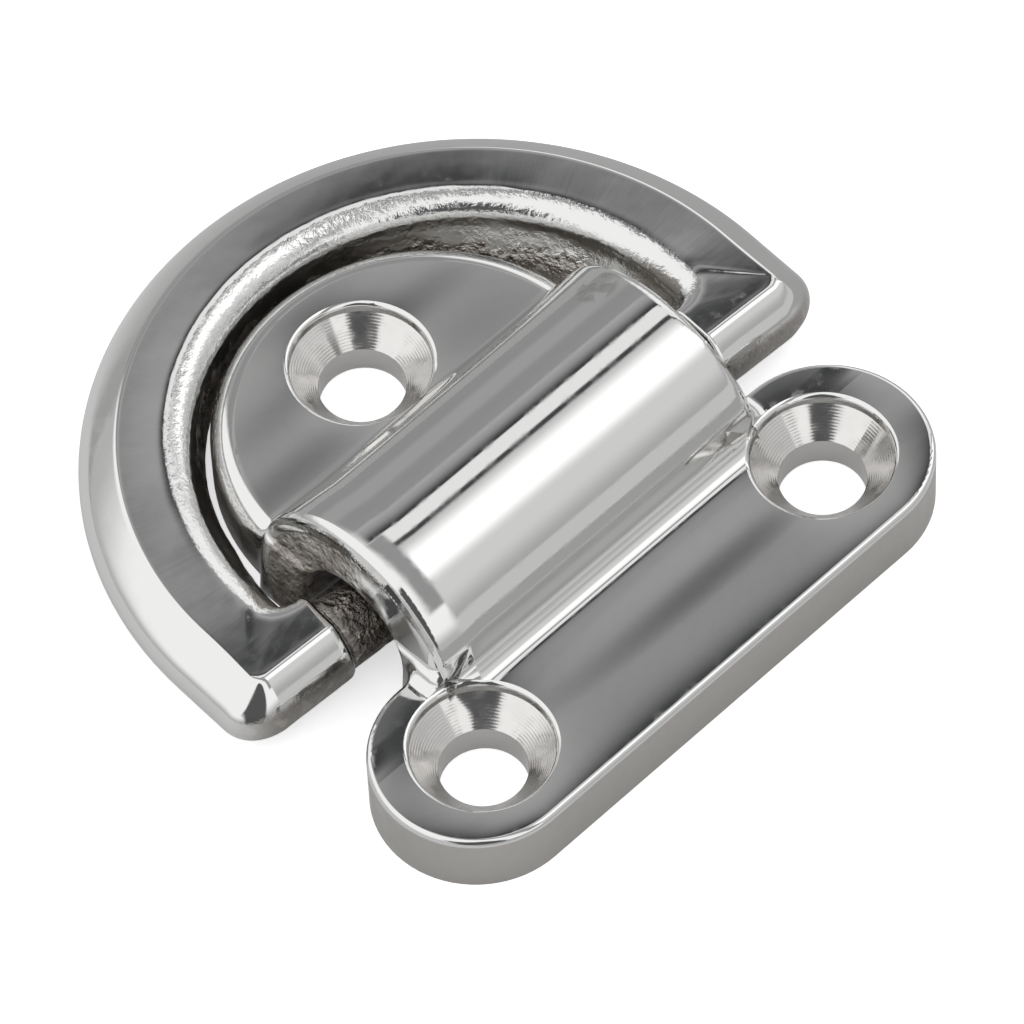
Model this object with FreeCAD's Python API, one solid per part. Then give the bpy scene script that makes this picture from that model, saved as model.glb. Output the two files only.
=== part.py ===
# Folding pad eye: a cast base with three screw holes, and a D-ring hinged under its bridge.
# Millimetres. The origin is the centre of the screw circle, on the underside.
# X runs along the hinge, Y from the flange to the ring's bow, and Z up from the surface it is screwed to.
import FreeCAD
import Part
import math
import os

# Screw holes
SCREW_CIRCLE_D = 40.0        # the three holes lie on this circle, 120 degrees apart
SCREW_HOLE_D = 6.5           # clearance for an M6 countersunk screw
SINK_ANGLE = 90.0            # of the countersink
SINK_D = 10.5                # across the top of the countersink
SINK_SHOULDER = 0.5          # straight wall above the countersink
SINK_LIP = 0.35              # rounded lip above that

# Flange at the front, with two of the holes
FLANGE_END = 8.43            # from a front hole's centre to the flange's end
FLANGE_HEIGHT = 5.35
NECK = 1.75                  # from the flange's rear edge to the tunnel
FLANGE_EDGE_R = 0.45

# Tongue at the rear, a half disc inside the ring, with the third hole
TONGUE_GAP = 0.6             # between its tip and the ring's bow
TONGUE_INSET = 0.9           # its sides stand in from the bridge's ends
TONGUE_HEIGHT = 5.2
TONGUE_EDGE_R = 1.9

# Bridge: an arch about the hinge axis, with a tunnel for the ring's bar
HINGE_Y = 4.5
HINGE_Z = 3.5
BRIDGE_R = 9.75
BRIDGE_LENGTH = 33.4         # along the underside
BRIDGE_END_ANGLE = 4.75      # degrees by which its ends lean in, the casting draft
BRIDGE_EDGE_R = 1.0
BRIDGE_FOOT_R = 1.4          # hollow fillet where the arch and its ends meet the flange
TONGUE_JOIN_R = 0.8          # hollow fillet where the arch meets the tongue
TUNNEL_R = 5.0
TUNNEL_MOUTH_R = 0.9         # rounded edge at both ends of the tunnel

# Ring: sizes in its own frame, whose origin is the middle of the bar
RING_CENTRE = 5.0            # centre of the bow's outer circle, ahead of the bar
RING_WIDTH = 5.6             # from the sharp upper edge in to the eye
RING_FLANK = 2.9             # how far the rounded flank stands out from that edge
RING_EYE_CENTRE = 5.3        # centre of the eye's circle
RING_FRONT = 0.8             # the sharp edge of the hinge side, in front of the bar's axis
RING_LIMB_REAR = 3.0         # rear wall of the hinge side
RING_UNDER = 3.2             # axis down to the underside
RING_OVER = 3.2              # axis up to the sharp edge
RING_ROLL_R = 1.5            # rolled inner edge
RING_INNER_CORNER_R = 1.2
RING_CORNER_R = 0.8          # of the sharp upper edge round the two outer corners
LIMB_R = 3.35                # the hinge side stays within this about the axis, clear of the deck
BAR_R = 2.9
BAR_SIDE_PLAY = 1.3          # between the bridge's end and the ring's shoulder
SHOULDER_LAND = 0.6          # straight stretch between the shoulder and the eye's rounded corner
SHOULDER_EDGE_R = 0.5
RING_SKEW = 2.5              # degrees that the loose ring lies turned on its bar
RING_SHIFT = 0.3             # sideways, within its side play

# Sizes that follow from those above
SHOULDER_X = BRIDGE_LENGTH / 2 + BAR_SIDE_PLAY
RING_INNER_R = SHOULDER_X + SHOULDER_LAND + RING_INNER_CORNER_R
RING_CREASE_R = RING_INNER_R + RING_WIDTH
TONGUE_R = BRIDGE_LENGTH / 2 - TONGUE_INSET
TONGUE_CENTRE_Y = HINGE_Y + RING_EYE_CENTRE + RING_INNER_R - TONGUE_GAP - TONGUE_R
FLANGE_Y = -SCREW_CIRCLE_D / 4
FLANGE_WIDTH = 2 * (HINGE_Y - TUNNEL_R - NECK - FLANGE_Y)
FLANGE_LENGTH = SCREW_CIRCLE_D * math.cos(math.radians(30)) + 2 * FLANGE_END


def vec(x, y, z):
    return FreeCAD.Vector(x, y, z)


def box(x0, x1, y0, y1, z0, z1):
    return Part.makeBox(x1 - x0, y1 - y0, z1 - z0, vec(x0, y0, z0))


def line(a, b):
    return Part.LineSegment(a, b).toShape()


def arc(a, b, c):
    return Part.Arc(a, b, c).toShape()


def curve(points):
    smooth = Part.BSplineCurve()
    smooth.interpolate(points)
    return smooth.toShape()


def face(edges):
    return Part.Face(Part.Wire(edges))


def polygon(points):
    return Part.Face(Part.makePolygon(points + points[:1]))


def near(a, b, slack=0.01):
    return abs(a - b) < slack


def both_sides(shape):
    """The shape and its mirror image across the plane X = 0."""
    return [shape, shape.mirror(vec(0, 0, 0), vec(1, 0, 0))]


def screw_places():
    r = SCREW_CIRCLE_D / 2
    return [(r * math.cos(math.radians(a)), r * math.sin(math.radians(a))) for a in (90, 210, 330)]


def screw_cut(x, y, top):
    """Bore, countersink, straight shoulder and rounded lip, below a face at the height top."""
    bore = SCREW_HOLE_D / 2
    rim = SINK_D / 2
    lip_z = top - SINK_LIP
    cone_z = lip_z - SINK_SHOULDER
    floor_z = cone_z - (rim - bore) / math.tan(math.radians(SINK_ANGLE / 2))
    turn = 0.36 * SINK_LIP
    profile = face([
        line(vec(0, 0, -top), vec(bore, 0, -top)),
        line(vec(bore, 0, -top), vec(bore, 0, floor_z)),
        line(vec(bore, 0, floor_z), vec(rim, 0, cone_z)),
        line(vec(rim, 0, cone_z), vec(rim, 0, lip_z)),
        arc(vec(rim, 0, lip_z), vec(rim + turn, 0, top - turn), vec(rim + SINK_LIP, 0, top)),
        line(vec(rim + SINK_LIP, 0, top), vec(rim + SINK_LIP, 0, 2 * top)),
        line(vec(rim + SINK_LIP, 0, 2 * top), vec(0, 0, 2 * top)),
        line(vec(0, 0, 2 * top), vec(0, 0, -top))])
    cut = profile.revolve(vec(0, 0, 0), vec(0, 0, 1), 360)
    cut.translate(vec(x, y, 0))
    return cut


def flange():
    """A stadium about the two front holes."""
    y = FLANGE_Y
    r = FLANGE_WIDTH / 2
    x = FLANGE_LENGTH / 2 - r
    outline = face([
        line(vec(-x, y - r, 0), vec(x, y - r, 0)),
        arc(vec(x, y - r, 0), vec(x + r, y, 0), vec(x, y + r, 0)),
        line(vec(x, y + r, 0), vec(-x, y + r, 0)),
        arc(vec(-x, y + r, 0), vec(-x - r, y, 0), vec(-x, y - r, 0))])
    body = outline.extrude(vec(0, 0, FLANGE_HEIGHT))
    top = [e for e in body.Edges if near(e.BoundBox.ZMin, FLANGE_HEIGHT)]
    return body.makeFillet(FLANGE_EDGE_R, top)


def tongue():
    """A half disc that runs forward into the bridge."""
    r = TONGUE_R
    y = TONGUE_CENTRE_Y
    back = HINGE_Y + TUNNEL_R
    outline = face([
        line(vec(-r, back, 0), vec(r, back, 0)),
        line(vec(r, back, 0), vec(r, y, 0)),
        arc(vec(r, y, 0), vec(0, y + r, 0), vec(-r, y, 0)),
        line(vec(-r, y, 0), vec(-r, back, 0))])
    body = outline.extrude(vec(0, 0, TONGUE_HEIGHT))
    top = [e for e in body.Edges
           if near(e.BoundBox.ZMin, TONGUE_HEIGHT) and e.BoundBox.YMax > (back + y) / 2]
    return body.makeFillet(TONGUE_EDGE_R, top)


def arch(radius, half, down):
    """A half round about the hinge axis, carried straight down to the height given."""
    y, z = HINGE_Y, HINGE_Z
    profile = face([
        line(vec(-half, y - radius, down), vec(-half, y - radius, z)),
        arc(vec(-half, y - radius, z), vec(-half, y, z + radius), vec(-half, y + radius, z)),
        line(vec(-half, y + radius, z), vec(-half, y + radius, down)),
        line(vec(-half, y + radius, down), vec(-half, y - radius, down))])
    return profile.extrude(vec(2 * half, 0, 0))


def bridge():
    """The arch between its two sloping ends, with rounded end edges."""
    body = arch(BRIDGE_R, BRIDGE_LENGTH, 0)
    top = 2 * (HINGE_Z + BRIDGE_R)
    low = BRIDGE_LENGTH / 2
    high = low - top * math.tan(math.radians(BRIDGE_END_ANGLE))
    y = HINGE_Y - 2 * BRIDGE_R
    ends = polygon([vec(-low, y, 0), vec(low, y, 0), vec(high, y, top), vec(-high, y, top)])
    body = body.common(ends.extrude(vec(0, 4 * BRIDGE_R, 0)))
    rims = [e for e in body.Edges
            if e.BoundBox.YLength > BRIDGE_R and e.BoundBox.ZMax > HINGE_Z + BRIDGE_R / 2]
    return body.makeFillet(BRIDGE_EDGE_R, rims)


def base_plate():
    body = flange().fuse(bridge()).fuse(tongue()).removeSplitter()
    front = HINGE_Y - BRIDGE_R
    foot = [e for e in body.Edges
            if near(e.BoundBox.ZMin, FLANGE_HEIGHT) and near(e.BoundBox.ZMax, FLANGE_HEIGHT)
            and near(e.BoundBox.YMin, e.BoundBox.YMax)
            and e.BoundBox.XLength > BRIDGE_LENGTH / 2
            and front < e.BoundBox.YMin < front + BRIDGE_R / 4]
    body = body.makeFillet(BRIDGE_FOOT_R, foot)
    rear = HINGE_Y + BRIDGE_R
    join = [e for e in body.Edges
            if near(e.BoundBox.ZMin, TONGUE_HEIGHT) and near(e.BoundBox.ZMax, TONGUE_HEIGHT)
            and near(e.BoundBox.YMin, e.BoundBox.YMax)
            and e.BoundBox.XLength > BRIDGE_LENGTH / 2
            and rear - BRIDGE_R / 4 < e.BoundBox.YMin < rear]
    body = body.makeFillet(TONGUE_JOIN_R, join)
    body = body.cut(arch(TUNNEL_R, BRIDGE_LENGTH, -HINGE_Z))
    mouths = [e for e in body.Edges
              if near(e.BoundBox.YMin, HINGE_Y - TUNNEL_R) and near(e.BoundBox.YMax, HINGE_Y + TUNNEL_R)
              and near(e.BoundBox.ZMax, HINGE_Z + TUNNEL_R)]
    body = body.makeFillet(TUNNEL_MOUTH_R, mouths)
    for (x, y), top in zip(screw_places(), (TONGUE_HEIGHT, FLANGE_HEIGHT, FLANGE_HEIGHT)):
        body = body.cut(screw_cut(x, y, top))
    return body.removeSplitter()


def flank_profile(r):
    """From a corner's or the bow's axis out to the rounded flank; the sharp edge is at the radius r."""
    out = RING_FLANK
    top, low = RING_OVER, -RING_UNDER
    points = [vec(r, 0, top), vec(r + 0.64 * out, 0, 0.48 * top), vec(r + 0.97 * out, 0, 0.09 * top),
              vec(r + 0.95 * out, 0, 0.38 * low), vec(r + 0.62 * out, 0, 0.75 * low), vec(r + 0.2 * out, 0, low)]
    return face([
        line(vec(0, 0, low), vec(0, 0, top)),
        line(vec(0, 0, top), vec(r, 0, top)),
        curve(points),
        line(points[-1], vec(0, 0, low))])


def front_profile(depth):
    """The hinge side's facet, front wall and underside; X points forward, and the height 0 is the axis."""
    top, low = RING_OVER, -RING_UNDER
    knee = vec(RING_FRONT - 0.25 * RING_FLANK, 0, top + 0.2 * RING_FLANK)
    points = [knee, vec(RING_FRONT, 0, top), vec(0.63 * LIMB_R, 0, 0.67 * top), vec(0.88 * LIMB_R, 0, 0.23 * top),
              vec(0.94 * LIMB_R, 0, 0.12 * low), vec(0.85 * LIMB_R, 0, 0.52 * low), vec(0.65 * LIMB_R, 0, 0.78 * low),
              vec(0.29 * LIMB_R, 0, low)]
    return face([
        line(vec(-depth, 0, low), vec(-depth, 0, knee.z)),
        line(vec(-depth, 0, knee.z), knee),
        curve(points),
        line(points[-1], vec(-depth, 0, low))])


def ring_outside():
    """A solid D with rounded flanks and corners, and the hinge side's facet."""
    r, c = RING_CREASE_R, RING_CORNER_R
    y = c - RING_FRONT
    bow = flank_profile(r)
    bow.translate(vec(0, RING_CENTRE, 0))
    bow = bow.revolve(vec(0, RING_CENTRE, 0), vec(0, 0, 1), 180)
    half = flank_profile(r)
    half.translate(vec(0, y, 0))
    half = half.extrude(vec(0, RING_CENTRE - y, 0))
    corner = flank_profile(c)
    corner.translate(vec(r - c, y, 0))
    corner = corner.revolve(vec(r - c, y, 0), vec(0, 0, 1), -90)
    depth = 2 * RING_FLANK
    fill = box(c - r, r - c, y - depth, y, -RING_UNDER, RING_OVER)
    body = bow.fuse(both_sides(half) + both_sides(corner) + [fill])
    front = front_profile(RING_CENTRE + r + depth)
    front.rotate(vec(0, 0, 0), vec(0, 0, 1), -90)
    front.translate(vec(-r - depth, 0, 0))
    return body.common(front.extrude(vec(2 * (r + depth), 0, 0))).removeSplitter()


def hole_profile(r):
    """From the axis of a corner or of the eye out to its wall at the radius r, which rolls over at the top."""
    top = RING_OVER
    roll = RING_ROLL_R
    k = roll * (1 - math.sqrt(0.5))
    low = -2 * RING_UNDER
    return face([
        line(vec(0, 0, low), vec(r, 0, low)),
        line(vec(r, 0, low), vec(r, 0, top - roll)),
        arc(vec(r, 0, top - roll), vec(r + k, 0, top - k), vec(r + roll, 0, top)),
        line(vec(r + roll, 0, top), vec(r + roll, 0, 2 * top)),
        line(vec(r + roll, 0, 2 * top), vec(0, 0, 2 * top)),
        line(vec(0, 0, 2 * top), vec(0, 0, low))])


def ring_hole():
    """The ring's eye, a D with rounded corners, whose upper edge is rolled."""
    r, c = RING_INNER_R, RING_INNER_CORNER_R
    y = RING_LIMB_REAR + c
    bow = hole_profile(r)
    bow.translate(vec(0, RING_EYE_CENTRE, 0))
    bow = bow.revolve(vec(0, RING_EYE_CENTRE, 0), vec(0, 0, 1), 180)
    half = hole_profile(r)
    half.translate(vec(0, y, 0))
    half = half.extrude(vec(0, RING_EYE_CENTRE - y, 0))
    corner = hole_profile(c)
    corner.translate(vec(r - c, y, 0))
    corner = corner.revolve(vec(r - c, y, 0), vec(0, 0, 1), -90)
    side = hole_profile(c)
    side.rotate(vec(0, 0, 0), vec(0, 0, 1), -90)
    side.translate(vec(c - r, y, 0))
    side = side.extrude(vec(2 * (r - c), 0, 0))
    return bow.fuse(both_sides(half) + both_sides(corner) + [side])


def d_ring():
    body = ring_outside().cut(ring_hole())
    x = SHOULDER_X
    tall = 2 * (RING_OVER + RING_UNDER)
    rear = RING_LIMB_REAR + 2 * RING_ROLL_R
    body = body.cut(box(-x, x, -RING_FRONT - tall, rear, -tall, tall)).removeSplitter()
    shoulders = [e for e in body.Edges
                 if near(abs(e.BoundBox.XMin), x) and near(abs(e.BoundBox.XMax), x)]
    body = body.makeFillet(SHOULDER_EDGE_R, shoulders)
    half = x + RING_WIDTH / 4
    bar = Part.makeCylinder(BAR_R, 2 * half, vec(-half, 0, 0), vec(1, 0, 0))
    body = body.fuse(bar).removeSplitter()
    body.rotate(vec(0, 0, 0), vec(0, 0, 1), -RING_SKEW)
    body.translate(vec(RING_SHIFT, HINGE_Y, HINGE_Z))
    return body


def main():
    os.makedirs("parts", exist_ok=True)
    for name, shape in (("base_plate", base_plate()), ("d_ring", d_ring())):
        print(name, "valid", shape.isValid(), "solids", len(shape.Solids), "volume", round(shape.Volume, 1),
              "box", [round(v, 2) for v in (shape.BoundBox.XMin, shape.BoundBox.XMax, shape.BoundBox.YMin,
                                            shape.BoundBox.YMax, shape.BoundBox.ZMin, shape.BoundBox.ZMax)])
        shape.exportStep("parts/" + name + ".step")


main()
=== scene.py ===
# Looks of the folding pad eye: polished, ground and rough cast steel, in a plain light studio.
# Metres, in the same frame as the CAD: X along the hinge, Y towards the ring's bow, Z up.
import bpy
import math
from mathutils import Matrix, Vector, noise


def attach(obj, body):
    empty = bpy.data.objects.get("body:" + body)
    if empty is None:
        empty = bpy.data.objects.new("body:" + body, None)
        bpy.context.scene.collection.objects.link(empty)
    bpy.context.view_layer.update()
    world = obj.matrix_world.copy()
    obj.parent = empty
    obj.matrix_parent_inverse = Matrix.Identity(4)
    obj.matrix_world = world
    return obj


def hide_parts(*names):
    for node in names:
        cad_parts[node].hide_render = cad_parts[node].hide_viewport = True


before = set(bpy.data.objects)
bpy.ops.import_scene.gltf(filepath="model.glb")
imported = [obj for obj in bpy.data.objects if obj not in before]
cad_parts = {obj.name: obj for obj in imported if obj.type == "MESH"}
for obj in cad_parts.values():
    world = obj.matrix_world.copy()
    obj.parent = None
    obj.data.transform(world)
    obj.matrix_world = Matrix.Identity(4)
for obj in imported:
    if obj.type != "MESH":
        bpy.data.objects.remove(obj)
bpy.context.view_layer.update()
MM = 0.001
TINY = 1e-9

# Sizes of the castings that the finishes follow, in metres
SCREW_CIRCLE_R = 20.0 * MM
SCREW_TURNS = (90, 210, 330)     # degrees from X
SINK_R = 5.25 * MM
SINK_EDGE = SINK_R + 0.35 * MM   # the countersink's lip ends here
HINGE = Vector((0.3, 4.5, 3.5)) * MM
BRIDGE_R = 9.75 * MM
BRIDGE_HALF = 15.6 * MM
TUNNEL_R = 5.0 * MM
FLANGE_Y = -10.0 * MM
FLANGE_R = 7.75 * MM
FLANGE_STRAIGHT = 18.0 * MM
TONGUE_R = 15.8 * MM
TONGUE_Y = 13.2 * MM
WALL_TOP = 4.75 * MM         # the satin outer walls end here, below the polished edge

# Ring, in millimetres in its own frame: the origin is the middle of its bar
BOW_CENTRE = 5.0
CREASE_R = 25.4
FRONT = 0.8                  # the hinge side's sharp edge lies this far in front of the bar's axis
CREASE_CORNER = 0.8
EYE_CENTRE = 5.3
EYE_R = 19.8
EYE_CORNER = 1.2
LIMB_REAR = 3.0
BAR_R = 2.88
SHOULDER_X = 18.0
SHOULDER_EDGE = 0.5
SHOULDER_DEPTH = 0.12
SHOULDER_FACE = ((0.5, 0.02), (1.0, SHOULDER_DEPTH))    # share of the way to the bar, and depth
OVER = 3.2
UNDER = 3.2
ROLL_WIDTH = 2.3             # the hand-ground roll between the top and the eye's wall
ROLL_DEPTH = 1.8
HINGE_SIDE_ROLL = 1.3
WIDEST_TOP = CREASE_R - EYE_R - ROLL_WIDTH + 1.0
FORWARD_BEND = 0.0066        # curvature of the top's soft fall towards the hinge side, per millimetre
FORWARD_FROM = 6.0
DRAFT = 1.8                  # the most that the eye's cast wall swells inwards towards its foot
SWELL_CLEAR = 0.35           # room that the swelling leaves to the tongue
SWELL_SHARE = 0.85           # of the rest of that gap
SWELL_REACH = 0.8            # share of the wall's height over which it grows
RING_SKEW = math.radians(-2.5)

# Outer side of the ring below its sharp edge, on the bow and on the hinge side: outwards, and height
FLANK = ((0, 3.2), (1.86, 1.54), (2.81, 0.29), (2.76, -1.22), (1.80, -2.4), (0.58, -3.2))
FACET = ((0, 3.2), (0.55, 2.84), (1.25, 2.15), (1.95, 1.15), (2.3, 0.25), (2.3, -0.75), (1.95, -1.8),
         (1.3, -2.6), (0.2, -3.2))

# Steps round the ring's section and along its path, and how far both are smoothed
TOP_STEPS, ROLL_STEPS, WALL_STEPS, UNDER_STEPS, FLANK_STEPS = 26, 20, 20, 12, 60
LIMB_STEPS, CORNER_STEPS, SIDE_STEPS, BOW_STEPS = 14, 26, 11, 100
SHOULDER_STEPS, BAR_STEPS = 5, 60
CORNER_BLEND = (0.1, 0.9)    # part of the corner over which the limb's section turns into the bow's
SMOOTH_BOW, SMOOTH_LIMB = 2, 6
SOFTEN_PASSES = 10
SOFTEN_BLEND = (0.0, 0.4)

# Hand-ground top: its inward slopes at the sharp edge and at the roll, by the turn along the bow
LEAN_FAR = (52, 38)          # middle and width in degrees of the far part, which leans most
LEAN_LEFT = (150, 32)
LEAN_LONG = (2.4, 0.7)       # waves per radian, and their row of noise
LEAN_SHORT = (5.5, 3.1)
OUTER_EVEN, OUTER_FAR, OUTER_LONG, OUTER_SHORT = 0.006, 0.020, 0.014, 0.008
INNER_FAR, INNER_LEFT, INNER_SHORT = 0.070, 0.05, 0.010

# Places of the ring's finishes and of its painted shade: the ends of each fade, in degrees, steps of the
# section or millimetres
BACK_END = (85, 130)
LEFT_START = (128, 158)
REACH, REACH_BACK, REACH_LEFT = 0.18, 0.22, 0.6
CAST_START, CAST_END = (-1.2, 1.2), (-0.5, 1.5)
HAMMERED_START, HAMMERED_END = (1.5, 5), (-1, 0)
SATIN_START, SATIN_END = (-1, 1), (0, 3)
FRONT_START = (0, 1)
FRONT_HEIGHT = (1.25, 0.55)
# the hinge side's low front wall: its share of cast colour, and its share of painted shade standing in for
# the shadow it lies in
FRONT_CAST, FRONT_PAINTED_SHADE = 0.35, 0.4
BAR_BLEND = 0.3
# painted shade on the bar, which lies in the dark of the bridge's tunnel
BAR_PAINTED_SHADE = 0.8

# Lumps and waves of the ring's surface in millimetres, each noise with its size and its rate per millimetre
BAR_LUMPS, CAST_LUMPS, HAMMERED_LUMPS = 0.05, 0.035, 0.022
LUMP_NOISES = ((1.0, 1.3), (0.6, 2.9))
WAVE_NOISES = ((0.006, 0.35), (0.003, 0.9))
RAGGED_NOISES = ((3.5, 0.9), (2.0, 2.7))    # in steps of the section

# Camera, on the photograph's line of sight
CAMERA_TARGET = Vector((0.76, 5.36, 0.0)) * MM
CAMERA_DISTANCE = 0.6539
CAMERA_AZIMUTH = math.radians(42.42)
CAMERA_ELEVATION = math.radians(55.58)
CAMERA_ROLL = math.radians(-3.05)
CAMERA_LENS = 316.4
CAMERA_NEAR, CAMERA_FAR = 0.01, 20.0
SENSOR = 36.0


def spline(points, count):
    """Points along a natural cubic spline through the points given, by chord length."""
    pts = [Vector((p[0], p[1])) for p in points]
    n = len(pts)
    t = [0.0]
    for a, b in zip(pts, pts[1:]):
        t.append(t[-1] + (b - a).length)
    h = [t[i + 1] - t[i] for i in range(n - 1)]
    second = [Vector((0, 0)) for _ in range(n)]
    upper, right = [0.0] * n, [Vector((0, 0)) for _ in range(n)]
    for i in range(1, n - 1):
        rise = (pts[i + 1] - pts[i]) / h[i] - (pts[i] - pts[i - 1]) / h[i - 1]
        pivot = 2 * (h[i - 1] + h[i]) - h[i - 1] * upper[i - 1]
        upper[i] = h[i] / pivot
        right[i] = (6 * rise - h[i - 1] * right[i - 1]) / pivot
    for i in range(n - 2, 0, -1):
        second[i] = right[i] - upper[i] * second[i + 1]
    found = []
    for k in range(count + 1):
        s = t[-1] * k / count
        i = max(j for j in range(n - 1) if t[j] <= s + TINY)
        a, b = (t[i + 1] - s) / h[i], (s - t[i]) / h[i]
        bend = ((a ** 3 - a) * second[i] + (b ** 3 - b) * second[i + 1]) * h[i] ** 2 / 6
        found.append(a * pts[i] + b * pts[i + 1] + bend)
    return found


FLANK_CURVE = spline(FLANK, FLANK_STEPS)
FACET_CURVE = spline(FACET, FLANK_STEPS)
TONGUE_CENTRE = Matrix.Rotation(-RING_SKEW, 2) @ ((Vector((0.0, TONGUE_Y)) - HINGE.xy) / MM)


def ease(value, low, high):
    """Smooth step from 0 at low to 1 at high."""
    x = min(1.0, max(0.0, (value - low) / (high - low)))
    return x * x * (3 - 2 * x)


def bell(value, middle, width):
    return math.exp(-((value - middle) / width) ** 2)


def waves(place, noises):
    """Sum of noises, each with its size and its rate."""
    return sum(size * noise.noise(place * rate) for size, rate in noises)


def heading(angle):
    return Vector((math.cos(angle), math.sin(angle)))


def half_path():
    """Stations round the right half: sharp edge, its outward direction, eye's wall, hinge side's share."""
    stations = []
    end = SHOULDER_X + SHOULDER_EDGE
    for i in range(LIMB_STEPS):
        x = i / LIMB_STEPS
        far = end + (CREASE_R - CREASE_CORNER - end) * x
        near = end + (EYE_R - EYE_CORNER - end) * x
        stations.append((Vector((far, -FRONT)), -math.pi / 2, Vector((near, LIMB_REAR)), 1.0))
    out_foot = CREASE_CORNER - FRONT
    wall_foot = LIMB_REAR + EYE_CORNER
    for i in range(CORNER_STEPS):
        turn = -math.pi / 2 * (1 - i / CORNER_STEPS)
        out = Vector((CREASE_R - CREASE_CORNER, out_foot)) + CREASE_CORNER * heading(turn)
        wall = Vector((EYE_R - EYE_CORNER, wall_foot)) + EYE_CORNER * heading(turn)
        stations.append((out, turn, wall, 1.0 - ease(i / CORNER_STEPS, *CORNER_BLEND)))
    for i in range(SIDE_STEPS):
        x = i / SIDE_STEPS
        out = Vector((CREASE_R, out_foot + (BOW_CENTRE - out_foot) * x))
        wall = Vector((EYE_R, wall_foot + (EYE_CENTRE - wall_foot) * x))
        stations.append((out, 0.0, wall, 0.0))
    for i in range(BOW_STEPS):
        turn = math.pi / 2 * i / BOW_STEPS
        out = Vector((0, BOW_CENTRE)) + CREASE_R * heading(turn)
        wall = Vector((0, EYE_CENTRE)) + EYE_R * heading(turn)
        stations.append((out, turn, wall, 0.0))
    return stations


def mirrored(station):
    """The same station on the left half."""
    out, turn, wall, share = station
    return Vector((-out.x, out.y)), math.pi - turn, Vector((-wall.x, wall.y)), share


def ring_path():
    """Stations all the way round, from the right limb's end to the left limb's end."""
    right = half_path()
    top = (Vector((0, BOW_CENTRE + CREASE_R)), math.pi / 2, Vector((0, EYE_CENTRE + EYE_R)), 0.0)
    return right + [top] + [mirrored(station) for station in reversed(right)]


def swell_of(wall, share):
    """How far the eye's wall swells inwards at its foot: less where the tongue is close."""
    gap = (wall - TONGUE_CENTRE).length - TONGUE_R / MM
    return min(DRAFT, max(0.0, SWELL_SHARE * (gap - SWELL_CLEAR))) * (1 - share)


def top_lean(turn):
    """Inward slope of the hand-ground top, at its sharp edge and at the roll."""
    degrees = math.degrees(turn)
    far, left = bell(degrees, *LEAN_FAR), bell(degrees, *LEAN_LEFT)
    long_wave = noise.noise(Vector((turn * LEAN_LONG[0], LEAN_LONG[1], 0.0)))
    short_wave = noise.noise(Vector((turn * LEAN_SHORT[0], LEAN_SHORT[1], 0.0)))
    outer = OUTER_EVEN + OUTER_FAR * far + OUTER_LONG * long_wave + OUTER_SHORT * short_wave
    inner = INNER_FAR * far - INNER_LEFT * left + INNER_SHORT * short_wave
    return outer, inner


def forward_fall(y):
    """Soft fall of the top towards the hinge side."""
    return FORWARD_BEND / 2 * max(0.0, FORWARD_FROM - y) ** 2


def section(station):
    """One loop round the ring's section: top, roll, the eye's wall, underside and flank."""
    out, turn, wall, share = station
    outward = heading(turn)
    roll = ROLL_WIDTH * (1 - share) + HINGE_SIDE_ROLL * share
    start = wall + outward * roll
    width = min((start - out).length, WIDEST_TOP)
    outer, inner = top_lean(turn)
    loop = []
    for i in range(TOP_STEPS):
        t = i / TOP_STEPS
        p = out.lerp(start, t)
        inward = width * (outer * t + (inner - outer) * t * t / 2) * (1 - share)
        loop.append(Vector((p.x, p.y, OVER - inward - forward_fall(p.y))))
    sunk = width * (outer + inner) / 2 * (1 - share)
    for i in range(ROLL_STEPS):
        a = math.pi / 2 * i / ROLL_STEPS
        p = wall + outward * roll * (1 - math.sin(a))
        low = ROLL_DEPTH * (1 - math.cos(a)) + (sunk + forward_fall(p.y)) * (1 - i / ROLL_STEPS)
        loop.append(Vector((p.x, p.y, OVER - low)))
    swell = swell_of(wall, share)
    for i in range(WALL_STEPS):
        z = OVER - ROLL_DEPTH - (OVER + UNDER - ROLL_DEPTH) * i / WALL_STEPS
        p = wall - outward * swell * ease(i / WALL_STEPS, 0.0, SWELL_REACH)
        loop.append(Vector((p.x, p.y, z)))
    wall = wall - outward * swell
    foot = FLANK_CURVE[-1].x * (1 - share) + FACET_CURVE[-1].x * share
    edge = out + outward * foot
    for i in range(UNDER_STEPS):
        p = wall.lerp(edge, i / UNDER_STEPS)
        loop.append(Vector((p.x, p.y, -UNDER)))
    for i in range(FLANK_STEPS, 0, -1):
        f, g = FLANK_CURVE[i], FACET_CURVE[i]
        bulge = f.x * (1 - share) + g.x * share
        p = out + outward * bulge
        loop.append(Vector((p.x, p.y, f.y * (1 - share) + g.y * share)))
    for _ in range(SMOOTH_BOW + round(SMOOTH_LIMB * share)):
        loop = [loop[i] * 0.5 + (loop[i - 1] + loop[(i + 1) % len(loop)]) * 0.25 for i in range(len(loop))]
    return loop


def soften(body, stations):
    """Average neighbouring sections round the hinge-side corners, where the hand grinding blends them."""
    for _ in range(SOFTEN_PASSES):
        before = [list(loop) for loop in body]
        for j in range(1, len(body) - 1):
            share = stations[j][3]
            blend = 0.5 * ease(4 * share * (1 - share), *SOFTEN_BLEND)
            for i in range(TOP_STEPS + ROLL_STEPS):
                middle = (before[j - 1][i] + before[j + 1][i]) / 2
                body[j][i] = before[j][i].lerp(middle, blend)


def fade(i, start, offsets):
    """Rise from 0 to 1 over the section's steps round start."""
    return ease(i, start + offsets[0], start + offsets[1])


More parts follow.
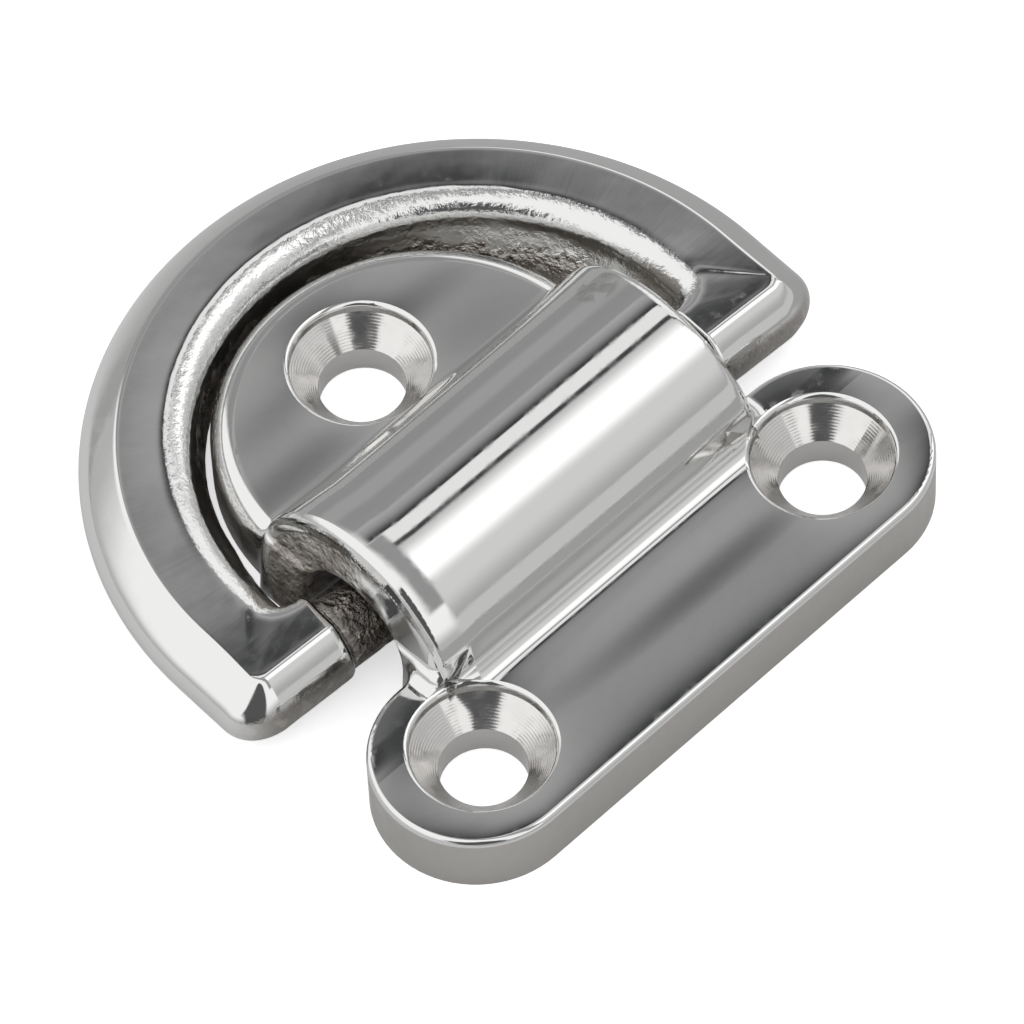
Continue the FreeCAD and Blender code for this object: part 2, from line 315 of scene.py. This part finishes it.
def finish_and_shade_of(i, turn, share, place):
    """Shares of satin, cast, hammered and painted shade at point i of a section."""
    roll = TOP_STEPS
    wall = roll + ROLL_STEPS
    under = wall + WALL_STEPS
    flank = under + UNDER_STEPS
    # the hand grinding reaches down the wall at the back of the bow and at its left, and less between
    back = 1 - ease(math.degrees(turn), *BACK_END)
    left = ease(math.degrees(turn), *LEFT_START)
    reach = wall + WALL_STEPS * (REACH + REACH_BACK * back + REACH_LEFT * left) + waves(place, RAGGED_NOISES)
    cast = fade(i, reach, CAST_START) * (1 - fade(i, under, CAST_END))
    hammered = fade(i, roll, HAMMERED_START) * (1 - cast) * (1 - fade(i, under, HAMMERED_END))
    satin = fade(i, under, SATIN_START) * (1 - fade(i, flank, SATIN_END))
    # the hinge side's low front wall: partly cast colour, partly painted shade standing in for its shadow
    front = share * fade(i, under, FRONT_START) * ease(place.z, *FRONT_HEIGHT)
    return max(satin, front), max(cast, FRONT_CAST * front), hammered, FRONT_PAINTED_SHADE * front


def shoulder_loops(loop, side):
    """The section's end closes over a rounded edge and a narrow face onto the bar."""
    loops = []
    for k in range(1, SHOULDER_STEPS + 1):
        a = math.pi / 2 * k / SHOULDER_STEPS
        x = side * (SHOULDER_X + SHOULDER_EDGE * (1 - math.sin(a)))
        inset = SHOULDER_EDGE * (1 - math.cos(a))
        rounded = []
        for p in loop:
            r = math.hypot(p.y, p.z)
            rounded.append(Vector((x, p.y * (1 - inset / r), p.z * (1 - inset / r))))
        loops.append(rounded)
    edge = loops[-1]
    for share, depth in SHOULDER_FACE:
        face = []
        for p in edge:
            r = math.hypot(p.y, p.z)
            size = r + (BAR_R - r) * share
            face.append(Vector((side * (SHOULDER_X - depth), p.y / r * size, p.z / r * size)))
        loops.append(face)
    return loops


def ring_loops():
    """All sections of the closed tube, each with its turn and share, or None at the shoulders and the bar."""
    stations = ring_path()
    body = [section(station) for station in stations]
    soften(body, stations)
    first = shoulder_loops(body[0], 1)
    last = shoulder_loops(body[-1], -1)
    bar = []
    for k in range(1, BAR_STEPS):
        x = (SHOULDER_X - SHOULDER_DEPTH) * (1 - 2 * k / BAR_STEPS)
        bar.append([Vector((-x, p.y, p.z)) for p in first[-1]])
    places = [(turn, share) for _, turn, _, share in stations]
    places += [None] * (len(last) + len(bar) + len(first))
    return body + last + bar + list(reversed(first)), places


def surface_at(i, p, place):
    """Shares of the finishes and of the painted shade at one point of a section, and the size of its lumps.
    """
    if place is None:
        inside = 1 - ease(abs(p.x), SHOULDER_X - BAR_BLEND, SHOULDER_X + BAR_BLEND)
        # on the bar the fourth share is painted shade, for the dark of the bridge's tunnel
        return (0.0, inside, 0.0, BAR_PAINTED_SHADE * inside), BAR_LUMPS * inside
    satin, cast, hammered, dark = finish_and_shade_of(i, *place, p)
    return (satin, cast, hammered, dark), CAST_LUMPS * cast + HAMMERED_LUMPS * hammered


def ring_skin(loops, places):
    """Points of all sections, moved in or out by the lumps and waves, and their shares of finishes and
    painted shade.
    """
    points, finishes = [], []
    count = len(loops[0])
    for j, loop in enumerate(loops):
        before, after = loops[j - 1], loops[(j + 1) % len(loops)]
        for i, p in enumerate(loop):
            along = after[i] - before[i]
            across = loop[(i + 1) % count] - loop[i - 1]
            normal = along.cross(across)
            normal = normal.normalized() if normal.length > TINY else Vector((0, 0, 1))
            shares, lumps = surface_at(i, p, places[j])
            points.append(p + normal * (lumps * waves(p, LUMP_NOISES) + waves(p, WAVE_NOISES)))
            finishes.append(shares)
    return points, finishes


def tube_faces(rounds, count):
    """Quads of a tube of so many sections with count points each, closed onto itself."""
    faces = []
    for j in range(rounds):
        k = (j + 1) % rounds
        for i in range(count):
            n = (i + 1) % count
            faces.append((j * count + i, j * count + n, k * count + n, k * count + i))
    return faces


def d_ring():
    """The ring as one closed tube of sections, with hand-ground and rough cast places."""
    loops, places = ring_loops()
    points, finishes = ring_skin(loops, places)
    turned = Matrix.Translation(HINGE) @ Matrix.Rotation(RING_SKEW, 4, "Z") @ Matrix.Scale(MM, 4)
    mesh = bpy.data.meshes.new("d_ring_ground")
    mesh.from_pydata([turned @ p for p in points], [], tube_faces(len(loops), len(loops[0])))
    mesh.update()
    mesh.shade_smooth()
    # shares of satin, cast and hammered, and in alpha the share of painted shade
    shares = mesh.color_attributes.new("finish_and_shade", "FLOAT_COLOR", "POINT")
    for item, value in zip(shares.data, finishes):
        item.color = value
    piece = bpy.data.objects.new("d_ring_ground", mesh)
    bpy.context.scene.collection.objects.link(piece)
    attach(piece, "ring")
    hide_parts("d_ring")
    return piece


class Graph:
    """Short calls that add shader nodes to one tree."""

    def __init__(self, tree):
        self.tree = tree
        tree.nodes.clear()

    def node(self, kind, **values):
        made = self.tree.nodes.new(kind)
        for name, value in values.items():
            setattr(made, name, value)
        return made

    def link(self, source, target):
        if isinstance(source, (int, float, tuple, list)):
            target.default_value = source
        else:
            self.tree.links.new(source, target)

    def math(self, operation, a, b=0.0):
        made = self.node("ShaderNodeMath", operation=operation)
        self.link(a, made.inputs[0])
        self.link(b, made.inputs[1])
        return made.outputs[0]

    def add(self, a, b):
        return self.math("ADD", a, b)

    def sub(self, a, b):
        return self.math("SUBTRACT", a, b)

    def mul(self, a, b):
        return self.math("MULTIPLY", a, b)

    def both(self, a, b):
        return self.math("MINIMUM", a, b)

    def either(self, a, b):
        return self.math("MAXIMUM", a, b)

    def absolute(self, a):
        return self.math("ABSOLUTE", a)

    def flip(self, a):
        return self.math("SUBTRACT", 1.0, a)

    def radius(self, a, b):
        """Length of the vector (a, b)."""
        return self.math("SQRT", self.add(self.mul(a, a), self.mul(b, b)))

    def fall(self, distance, length):
        """exp(-distance / length), 1 at distance 0."""
        return self.math("EXPONENT", self.mul(distance, -1.0 / length))

    def step(self, value, low, high, out_low=0.0, out_high=1.0):
        """A smooth step from out_low to out_high as value goes from low to high."""
        made = self.node("ShaderNodeMapRange", interpolation_type="SMOOTHSTEP", clamp=True)
        for name, v in (("Value", value), ("From Min", low), ("From Max", high),
                        ("To Min", out_low), ("To Max", out_high)):
            self.link(v, made.inputs[name])
        return made.outputs[0]

    def between(self, value, low, high, edge):
        """1 from low to high, and 0 beyond, with an edge of this half width at both ends."""
        return self.both(self.step(value, low - edge, low + edge), self.step(value, high + edge, high - edge))

    def mix(self, share, a, b):
        made = self.node("ShaderNodeMix", data_type="FLOAT")
        for place, value in ((0, share), (2, a), (3, b)):
            self.link(value, made.inputs[place])
        return made.outputs[0]

    def mix_colour(self, share, a, b):
        made = self.node("ShaderNodeMix", data_type="RGBA")
        for place, value in ((0, share), (6, a), (7, b)):
            self.link(value, made.inputs[place])
        return made.outputs[2]

    def split(self, vector):
        made = self.node("ShaderNodeSeparateXYZ")
        self.link(vector, made.inputs[0])
        return made.outputs

    def join(self, x, y, z):
        made = self.node("ShaderNodeCombineXYZ")
        for place, value in enumerate((x, y, z)):
            self.link(value, made.inputs[place])
        return made.outputs[0]

    def stretch(self, vector, scale, turn=0.0):
        """The place turned about Z and stretched, for marks that run one way."""
        made = self.node("ShaderNodeMapping", vector_type="TEXTURE")
        self.link(vector, made.inputs["Vector"])
        made.inputs["Rotation"].default_value = (0, 0, turn)
        made.inputs["Scale"].default_value = scale
        return made.outputs[0]

    def noise(self, vector, scale, detail=2.0, roughness=0.5):
        """Noise from 0 to 1; scale is in features per metre."""
        made = self.node("ShaderNodeTexNoise")
        for name, value in (("Vector", vector), ("Scale", scale), ("Detail", detail),
                            ("Roughness", roughness)):
            self.link(value, made.inputs[name])
        return made.outputs["Fac"]

    def levels(self, value, stops):
        """Level along a value, with straight lines between the stops."""
        first, last = stops[0][0], stops[-1][0]
        top = max(level for _, level in stops)
        made = self.node("ShaderNodeValToRGB")
        self.link(self.mul(self.sub(value, first), 1.0 / (last - first)), made.inputs[0])
        elements = made.color_ramp.elements
        while len(elements) < len(stops):
            elements.new(1.0)
        for element, (place, level) in zip(elements, stops):
            element.position = (place - first) / (last - first)
            element.color = (level / top, level / top, level / top, 1.0)
        return self.mul(made.outputs["Color"], top)

    def bump(self, height, strength, distance, normal=None):
        made = self.node("ShaderNodeBump")
        for name, value in (("Strength", strength), ("Distance", distance), ("Height", height)):
            self.link(value, made.inputs[name])
        if normal is not None:
            self.link(normal, made.inputs["Normal"])
        return made.outputs["Normal"]


def colour(r, g, b):
    return (r, g, b, 1.0)


# Colours of the finishes and of the painted shade, and the roughness of each of the finishes between its two
# kinds of small patches
POLISHED = colour(0.68, 0.68, 0.67)
SATIN = colour(0.46, 0.445, 0.427)
CAST = colour(0.36, 0.325, 0.29)
CAST_BRIGHT = colour(0.56, 0.53, 0.50)
TURNED = colour(0.66, 0.65, 0.635)
# painted shade, laid on the ring's bar and on its hinge side's low front wall
PAINTED_SHADE = colour(0.10, 0.088, 0.078)
POLISHED_ROUGH = (0.04, 0.075)
SATIN_ROUGH = (0.30, 0.38)
TURNED_ROUGH = (0.11, 0.20)
CAST_ROUGH = (0.5, 0.24)
HAMMERED_ROUGH = 0.10
TURNED_ANISOTROPY = 0.8

# Noises of the finishes in features per metre, and the steps that cut patches out of the fine one
FINE_NOISE = 900.0
STREAK_NOISE = 5000.0
STREAK_STRETCH = (1.0, 0.03, 1.0)
STREAK_TURN = 0.9
DENT_NOISE = 110.0
LUMP_NOISE = 1900.0
LUMP_DETAIL, LUMP_ROUGHNESS = 3.0, 0.6
PATCHES = (0.3, 0.7)
POLISHED_PATCHES = (0.3, 0.75)
RUST_PATCHES = (0.35, 0.7)
# patches of the painted shade
PAINTED_SHADE_PATCHES = (0.68, 0.5)
STREAK_PATCHES = (0.45, 0.65)
GROOVE_PATCHES = (0.35, 0.6)

# Heights of the small forms in metres, and their strengths
DENT_HEIGHT = 0.045 * MM
STREAK_HEIGHT = 0.01 * MM
STREAK_STRENGTH = (0.01, 0.06)
GROOVE_HEIGHT = 0.0035 * MM
GROOVE_STRENGTH = (0.15, 0.7)
GROOVE_PERIOD = 0.17 * MM
LUMP_HEIGHT = 0.5 * MM
CAST_STRENGTH, HAMMERED_STRENGTH = 0.9, 0.15


def steel_colour(g, zone, fine):
    """Colour of the steel, the finishes laid each over the one before, and last a painted shade where the
    zone gives a "dark" share.
    """
    base = g.mix_colour(zone["satin"], POLISHED, SATIN)
    if "turned" in zone:
        base = g.mix_colour(zone["turned"], base, TURNED)
    base = g.mix_colour(zone["cast"], base, g.mix_colour(g.step(fine, *RUST_PATCHES), CAST_BRIGHT, CAST))
    # painted shade, in patches, where the zone gives a "dark" share
    if "dark" in zone:
        base = g.mix_colour(g.mul(zone["dark"], g.step(fine, *PAINTED_SHADE_PATCHES)), base, PAINTED_SHADE)
    return base


def steel_roughness(g, zone, fine):
    """Roughness of the steel, in the same order."""
    rough = g.step(fine, *POLISHED_PATCHES, *POLISHED_ROUGH)
    rough = g.mix(zone["satin"], rough, g.step(fine, *PATCHES, *SATIN_ROUGH))
    if "turned" in zone:
        rough = g.mix(zone["turned"], rough, g.step(fine, *PATCHES, *TURNED_ROUGH))
    rough = g.mix(zone["hammered"], rough, HAMMERED_ROUGH)
    return g.mix(zone["cast"], rough, g.step(fine, *PATCHES, *CAST_ROUGH))


def steel_normal(g, zone, fine, place):
    """The small forms: the polished form with its streaks, the lathe's grooves and the casting's lumps."""
    dents = g.mul(g.noise(place, DENT_NOISE, 0.0), DENT_HEIGHT)
    streaks = g.noise(g.stretch(place, STREAK_STRETCH, STREAK_TURN), STREAK_NOISE, 0.0)
    streaks = g.mul(g.mul(streaks, g.step(fine, *STREAK_PATCHES, *STREAK_STRENGTH)), STREAK_HEIGHT)
    normal = g.bump(g.add(g.add(zone["form"], dents), streaks), 1.0, 1.0)
    if "turned" in zone:
        strength = g.mul(zone["turned"], g.step(fine, *GROOVE_PATCHES, *GROOVE_STRENGTH))
        normal = g.bump(zone["grooves"], strength, GROOVE_HEIGHT, normal)
    lumps = g.noise(place, LUMP_NOISE, LUMP_DETAIL, LUMP_ROUGHNESS)
    strength = g.add(g.mul(zone["cast"], CAST_STRENGTH), g.mul(zone["hammered"], HAMMERED_STRENGTH))
    return g.bump(lumps, strength, LUMP_HEIGHT, normal)


def steel(name, zones):
    """A steel material; zones(g, place) gives the shares of its finishes by name, any "dark" share of painted
    shade, and "form", the height in metres of the hand-polished form. With "turned" come its grooves and
    "away", the way from its axis."""
    material = bpy.data.materials.new(name)
    material.use_nodes = True
    g = Graph(material.node_tree)
    place = g.node("ShaderNodeTexCoord").outputs["Object"]
    zone = zones(g, place)
    fine = g.noise(place, FINE_NOISE)
    shader = g.node("ShaderNodeBsdfPrincipled")
    shader.inputs["Metallic"].default_value = 1.0
    g.link(steel_colour(g, zone, fine), shader.inputs["Base Color"])
    g.link(steel_roughness(g, zone, fine), shader.inputs["Roughness"])
    g.link(steel_normal(g, zone, fine, place), shader.inputs["Normal"])
    if "turned" in zone:
        g.link(zone["away"], shader.inputs["Tangent"])
        g.link(g.mul(zone["turned"], TURNED_ANISOTROPY), shader.inputs["Anisotropic"])
    out = g.node("ShaderNodeOutputMaterial")
    g.link(shader.outputs[0], out.inputs["Surface"])
    return material


# Hand-polished form of the base, in metres: the ends of its fades along y, or z on the bridge
ON_FLANGE = (-4.5 * MM, -6.5 * MM)
ON_TONGUE = (13.6 * MM, 15.2 * MM)
ON_BRIDGE = (6.0 * MM, 7.5 * MM)

# Fall of the tops at their outlines: depth, and the distance over which it dies out
FLANGE_FALL = (0.07 * MM, 0.13 * MM)     # along the straight edges, and round the ends
FLANGE_LOBE = (-0.5 * MM, 3.0 * MM)
FLANGE_FADE = 1.0 * MM
TONGUE_FALL, TONGUE_FADE = 0.13 * MM, 1.4 * MM
SINK_FALL, SINK_FADE = 0.07 * MM, 1.7 * MM

# Soft rise of the flange into the bridge's foot
FOOT_START, FOOT_END = -6.5 * MM, -5.2 * MM
FOOT_ROUND = 0.25 * MM
FOOT_SLOPE = 0.4
FOOT_FADE_X = (15.6 * MM, 12.8 * MM)
FOOT_FADE_Y = (-5.3 * MM, -4.4 * MM)
FOOT_CUT = (15.8 * MM, 15.3 * MM)

# Long waves of the grinding, the flange's tilt and its one low ridge
LONG_NOISE = 34.0
LONG_STRETCH = (1.0, 0.16, 1.0)
LONG_HEIGHT = 0.09 * MM
TILT_FROM, TILT = -7.0 * MM, -0.024
RIDGE_X, RIDGE_Y = 4.0 * MM, -10.4 * MM
RIDGE_SQUEEZE = 0.13
RIDGE_WIDTH = 2.6 * MM
RIDGE_HEIGHT = 0.036 * MM

# Softened ends of the bridge: where they start at its near and far end, and how much they bend
TIP_NEAR, TIP_FAR = 11.5 * MM, 14.2 * MM
TIP_BLEND = (-1.0 * MM, 1.0 * MM)
TIP_BEND = 36.0              # depth for the square of the distance


def around_screws(g, x, y):
    """Distance from the nearest screw's axis, and inside its hole the direction away from that axis."""
    near = None
    # outside the holes the direction is X, because it may not be zero
    away_x, away_y = 0.001 * MM, 0.0
    for turn in SCREW_TURNS:
        dx = g.sub(x, SCREW_CIRCLE_R * math.cos(math.radians(turn)))
        dy = g.sub(y, SCREW_CIRCLE_R * math.sin(math.radians(turn)))
        r = g.radius(dx, dy)
        near = r if near is None else g.both(near, r)
        inside = g.math("LESS_THAN", r, SINK_EDGE)
        away_x = g.add(away_x, g.mul(inside, dx))
        away_y = g.add(away_y, g.mul(inside, dy))
    return near, g.join(away_x, away_y, 0.0)


def outline_falls(g, x, y, near, on_flange, on_tongue):
    """Depth by which the flat tops fall away at their outlines and round the screw holes."""
    beyond = g.either(g.sub(g.absolute(x), FLANGE_STRAIGHT), 0.0)
    inside = g.either(g.sub(FLANGE_R, g.radius(beyond, g.sub(y, FLANGE_Y))), 0.0)
    depth = g.step(beyond, *FLANGE_LOBE, *FLANGE_FALL)
    flange = g.mul(g.mul(g.fall(inside, FLANGE_FADE), depth), on_flange)
    inside = g.either(g.sub(TONGUE_R, g.radius(x, g.sub(y, TONGUE_Y))), 0.0)
    tongue = g.mul(g.mul(g.fall(inside, TONGUE_FADE), TONGUE_FALL), on_tongue)
    rim = g.either(g.sub(near, SINK_EDGE), 0.0)
    return g.add(g.add(flange, tongue), g.mul(g.fall(rim, SINK_FADE), SINK_FALL))


def foot_rise(g, along, y):
    """Height of the soft rise into the bridge's foot, which ends short of the bridge's ends."""
    up = g.sub(g.both(y, FOOT_END), FOOT_START)
    rise = g.mul(g.add(g.radius(up, FOOT_ROUND), up), FOOT_SLOPE / 2)
    ends = g.either(g.step(along, *FOOT_FADE_X), g.step(y, *FOOT_FADE_Y))
    return g.mul(rise, g.both(ends, g.step(along, *FOOT_CUT)))


def flange_ridge(g, x, y):
    """Height of the one low ridge along the flange's top."""
    distance = g.radius(g.mul(g.sub(x, RIDGE_X), RIDGE_SQUEEZE), g.sub(y, RIDGE_Y))
    return g.mul(g.step(distance, RIDGE_WIDTH, 0.0), RIDGE_HEIGHT)


def bridge_tips(g, x, z, along):
    """Depth by which the bridge's top falls away towards its ends."""
    start = g.mix(g.step(x, *TIP_BLEND), TIP_NEAR, TIP_FAR)
    beyond = g.either(g.sub(along, start), 0.0)
    return g.mul(g.mul(g.mul(beyond, beyond), TIP_BEND), g.step(z, *ON_BRIDGE))


def polished_form(g, place, near):
    """Height of the hand-polished form: the flat tops fall away at the outlines and round the holes,
    rise softly into the bridge's foot, and wave a little along the grinding."""
    x, y, z = g.split(place)
    along = g.absolute(x)
    on_flange, on_tongue = g.step(y, *ON_FLANGE), g.step(y, *ON_TONGUE)
    form = g.sub(foot_rise(g, along, y), outline_falls(g, x, y, near, on_flange, on_tongue))
    long_waves = g.sub(g.noise(g.stretch(place, LONG_STRETCH), LONG_NOISE, 0.0), 0.5)
    form = g.add(form, g.mul(g.mul(long_waves, LONG_HEIGHT), g.either(on_flange, on_tongue)))
    form = g.add(form, g.mul(g.both(y, TILT_FROM), TILT))
    form = g.add(form, flange_ridge(g, x, y))
    return g.sub(form, bridge_tips(g, x, z, along))


# Places of the base's finishes: the ends of each fade, in metres, or as parts of the normal
UNDERSIDE = (-0.9, -0.6)
UPRIGHT = (0.5, 0.3)
SINK_BLEND = (SINK_R + 0.08 * MM, SINK_R - 0.02 * MM)
WALL_BLEND = (WALL_TOP + 0.15 * MM, WALL_TOP)
BRIDGE_BLEND = (BRIDGE_R + 1.0 * MM, BRIDGE_R - 0.5 * MM)
END_BLEND = (BRIDGE_HALF - 0.2 * MM, BRIDGE_HALF + 0.2 * MM)
END_RIM = (BRIDGE_R - 0.9 * MM, BRIDGE_R - 1.6 * MM)
END_REAR = (HINGE.y - 1.5 * MM, HINGE.y + 1.5 * MM)
TUNNEL_BLEND = (TUNNEL_R + 0.45 * MM, TUNNEL_R + 0.15 * MM)

# The scuffed patch on the bridge's far end: its middle, its fade and its share of satin
SCUFF = Vector((13.2, 8.6, 12.3)) * MM
SCUFF_SQUEEZE = 0.5
SCUFF_BLEND = (2.0 * MM, 1.4 * MM)
SCUFF_PATCHES = (0.44, 0.52)
SCUFF_SATIN = 0.6


def scuff(g, place, x, y, z):
    """Share of the scuffed patch, broken up by the fine noise."""
    height = g.mul(g.absolute(g.sub(z, SCUFF.z)), SCUFF_SQUEEZE)
    distance = g.add(g.radius(g.sub(x, SCUFF.x), g.sub(y, SCUFF.y)), height)
    return g.both(g.step(distance, *SCUFF_BLEND), g.step(g.noise(place, FINE_NOISE, 1.0), *SCUFF_PATCHES))


def base_zones(g, place):
    """Finishes of the base: satin outer walls, turned countersinks, and a cast tunnel and bridge end."""
    x, y, z = g.split(place)
    normal_z = g.split(g.node("ShaderNodeNewGeometry").outputs["True Normal"])[2]
    near, away = around_screws(g, x, y)
    turned = g.step(near, *SINK_BLEND)
    grooves = g.math("SINE", g.mul(near, 2 * math.pi / GROOVE_PERIOD))
    from_hinge = g.radius(g.sub(y, HINGE.y), g.sub(z, HINGE.z))
    walls = g.both(g.both(g.step(g.absolute(normal_z), *UPRIGHT), g.step(z, *WALL_BLEND)), g.flip(turned))
    walls = g.both(walls, g.flip(g.step(from_hinge, *BRIDGE_BLEND)))
    ends = g.both(g.step(g.absolute(x), *END_BLEND), g.step(from_hinge, *END_RIM))
    ends = g.both(ends, g.step(y, *END_REAR))
    cast = g.either(ends, g.step(from_hinge, *TUNNEL_BLEND))
    scuffed = scuff(g, place, x, y, z)
    satin = g.either(walls, g.mul(scuffed, SCUFF_SATIN))
    # the flat underside takes none of the hand-polished form
    form = g.mul(polished_form(g, place, near), g.step(normal_z, *UNDERSIDE))
    return {"satin": satin, "cast": cast, "hammered": scuffed, "form": form,
            "turned": turned, "grooves": grooves, "away": away}


# Strokes of the hand grinding along the ring's bow, in features per metre
STROKE_NOISE = 2200.0
STROKE_HEIGHT = 0.0016 * MM
STROKE_ACROSS, STROKE_DOWN = 0.12, 0.3


def ring_zones(g, place):
    """Finishes of the ring and its painted shade, from its mesh's colour attribute, and the strokes of its
    grinding.
    """
    shares = g.node("ShaderNodeAttribute", attribute_name="finish_and_shade")
    made = g.node("ShaderNodeSeparateColor")
    g.link(shares.outputs["Color"], made.inputs[0])
    satin, cast, hammered = made.outputs
    x, y, z = g.split(place)
    x, y = g.sub(x, HINGE.x), g.sub(y, HINGE.y + BOW_CENTRE * MM)
    around = g.mul(g.math("ARCTAN2", x, y), CREASE_R * MM)
    strokes = g.join(around, g.mul(g.radius(x, y), STROKE_ACROSS), g.mul(z, STROKE_DOWN))
    form = g.mul(g.noise(strokes, STROKE_NOISE, 1.0), STROKE_HEIGHT)
    # the alpha carries the share of painted shade on the bar and on the hinge side's low front wall
    return {"satin": satin, "cast": cast, "hammered": hammered, "dark": shares.outputs["Alpha"], "form": form}


def dress():
    """Give the base its material, and put the ground ring in the CAD ring's place."""
    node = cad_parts["base_plate"]
    node.data.materials.clear()
    node.data.materials.append(steel("base_steel", base_zones))
    ring = d_ring()
    ring.data.materials.append(steel("ring_steel", ring_zones))


# Level of the light tent by the turn about the hinge's direction, in degrees: 0 behind, 90 overhead
TENT_LEVELS = ((46, 0.38), (52.6, 0.38), (54, 0.52), (56, 0.52), (57.4, 0.46), (59, 0.44), (61, 0.38),
               (63, 0.285), (65, 0.185), (67, 0.085), (69.2, 0.045), (70.2, 1.1), (82, 1.1), (83.1, 0.08),
               (86.3, 0.08), (87.7, 0.71), (92, 0.91), (96, 1.2), (100, 1.5), (104, 1.67), (106, 1.7),
               (117, 1.7), (120, 1.58), (124, 1.28), (128, 0.98), (132, 0.87))
TENT_START = (45.5, 46.5)
TENT_END = (130.0, 131.5)
BOXES_START = (69.2, 70.2)

# The wall behind the tent, and the front beyond it: where each level starts, and the levels
WALL_MIDDLE = 25.0
WALL_EDGE = (5.0, 13.0)
WALL_LEVELS = (0.46, 0.37)
FRONT_FALL = (142.0, 165.0)
FRONT_LEVELS = (0.87, 0.54)
FRONT_RISE = (164.0, 166.0)
FRONT_LAST = 0.74

# The room round the tent by height, and the parts of the tent by x, the sideways part of a direction
ROOM_HEIGHTS = (0.05, 0.3)
ROOM_LEVELS = (0.62, 1.25)
TENT_SIDES = (0.0, 0.64, 0.06)
BOXES_LEFT = (0.145, 0.195)

# Patches over the room: turn from, to and edge, x from, to and edge, and level
GAP_PATCH = ((69.7, 148.0, 2.0), (-0.03, 0.3, 0.04), 0.4)
DARK_PATCH = ((114.0, 180.0, 2.5), (-0.9, -0.36, 0.04), 0.12)
SEEN_LEVEL = 1.0
GREEN_MORE, BLUE_MORE = 0.001, 0.004


def patched(g, level, turn, x, patch):
    """The level with one soft-edged patch laid over it."""
    turns, sides, patch_level = patch
    return g.mix(g.both(g.between(turn, *turns), g.between(x, *sides)), level, patch_level)


def tent_levels(g, turn):
    """Levels within the tent's width: the wall behind, the tent and the front."""
    wall = g.step(g.absolute(g.sub(turn, WALL_MIDDLE)), *WALL_EDGE, *WALL_LEVELS)
    front = g.mix(g.step(turn, *FRONT_FALL), *FRONT_LEVELS)
    front = g.mix(g.step(turn, *FRONT_RISE), front, FRONT_LAST)
    inside = g.mix(g.step(turn, *TENT_START), wall, g.levels(turn, TENT_LEVELS))
    return g.mix(g.step(turn, *TENT_END), inside, front)


def studio_world():
    """A light tent seen in the steel: a grey wall behind, dark gaps beside a bright strip, and a soft box."""
    world = bpy.data.worlds.new("studio")
    bpy.context.scene.world = world
    world.use_nodes = True
    g = Graph(world.node_tree)
    x, y, z = g.split(g.node("ShaderNodeTexCoord").outputs["Generated"])
    turn = g.math("DEGREES", g.math("ARCTAN2", z, y))
    tent = g.mix(g.step(turn, *BOXES_START), g.between(x, *TENT_SIDES), g.step(x, *BOXES_LEFT))
    room = patched(g, g.step(z, *ROOM_HEIGHTS, *ROOM_LEVELS), turn, x, GAP_PATCH)
    level = patched(g, g.mix(tent, room, tent_levels(g, turn)), turn, x, DARK_PATCH)
    level = g.mix(g.node("ShaderNodeLightPath").outputs["Is Camera Ray"], level, SEEN_LEVEL)
    back = g.node("ShaderNodeBackground")
    g.link(g.join(level, g.add(level, GREEN_MORE), g.add(level, BLUE_MORE)), back.inputs["Color"])
    back.inputs["Strength"].default_value = 1.0
    out = g.node("ShaderNodeOutputWorld")
    g.link(back.outputs[0], out.inputs["Surface"])


# Floor of white paper, in metres: it is grey behind and in front of the object, which only the steel shows
FLOOR_SIZE = 4.0
PAPER = colour(0.8, 0.8, 0.8)
GREY_PAPER = colour(0.5, 0.5, 0.5)
BEHIND_X, BEHIND_Y = 0.85, 0.53
BEHIND = (15.0 * MM, 40.0 * MM)
BEFORE = (-20.0 * MM, -50.0 * MM)
PAPER_GLOW = 0.62


def floor():
    """The paper under the object, which glows for the camera alone, so that its white is even."""
    bpy.ops.mesh.primitive_plane_add(size=FLOOR_SIZE, location=(0, 0, 0))
    plane = bpy.context.object
    plane.name = "floor"
    material = bpy.data.materials.new("paper")
    material.use_nodes = True
    g = Graph(material.node_tree)
    path = g.node("ShaderNodeLightPath")
    x, y, _ = g.split(g.node("ShaderNodeTexCoord").outputs["Object"])
    behind = g.step(g.add(g.mul(x, BEHIND_X), g.mul(y, BEHIND_Y)), *BEHIND)
    grey = g.mul(g.either(behind, g.step(y, *BEFORE)), path.outputs["Is Glossy Ray"])
    paper = g.node("ShaderNodeBsdfDiffuse")
    g.link(g.mix_colour(grey, PAPER, GREY_PAPER), paper.inputs["Color"])
    glow = g.node("ShaderNodeEmission")
    glow.inputs["Color"].default_value = colour(1.0, 1.0, 1.0)
    seen = g.either(path.outputs["Is Camera Ray"], path.outputs["Is Transmission Ray"])
    g.link(g.mul(seen, PAPER_GLOW), glow.inputs["Strength"])
    total = g.node("ShaderNodeAddShader")
    g.link(paper.outputs[0], total.inputs[0])
    g.link(glow.outputs[0], total.inputs[1])
    out = g.node("ShaderNodeOutputMaterial")
    g.link(total.outputs[0], out.inputs["Surface"])
    plane.data.materials.append(material)


def camera():
    """The photograph's camera."""
    lens = bpy.data.cameras.new("camera")
    lens.lens = CAMERA_LENS
    lens.sensor_width = SENSOR
    lens.clip_start = CAMERA_NEAR
    lens.clip_end = CAMERA_FAR
    made = bpy.data.objects.new("camera", lens)
    bpy.context.scene.collection.objects.link(made)
    az, el = CAMERA_AZIMUTH, CAMERA_ELEVATION
    forward = Vector((math.sin(az) * math.cos(el), math.cos(az) * math.cos(el), -math.sin(el)))
    right = Vector((math.cos(az), -math.sin(az), 0.0))
    up = right.cross(forward)
    level = Matrix((right, up, -forward)).transposed()
    turned = level @ Matrix.Rotation(CAMERA_ROLL, 3, "Z")
    made.matrix_world = Matrix.Translation(CAMERA_TARGET - forward * CAMERA_DISTANCE) @ turned.to_4x4()
    bpy.context.scene.camera = made


dress()
studio_world()
floor()
camera()
bpy.context.scene.view_settings.view_transform = "Standard"
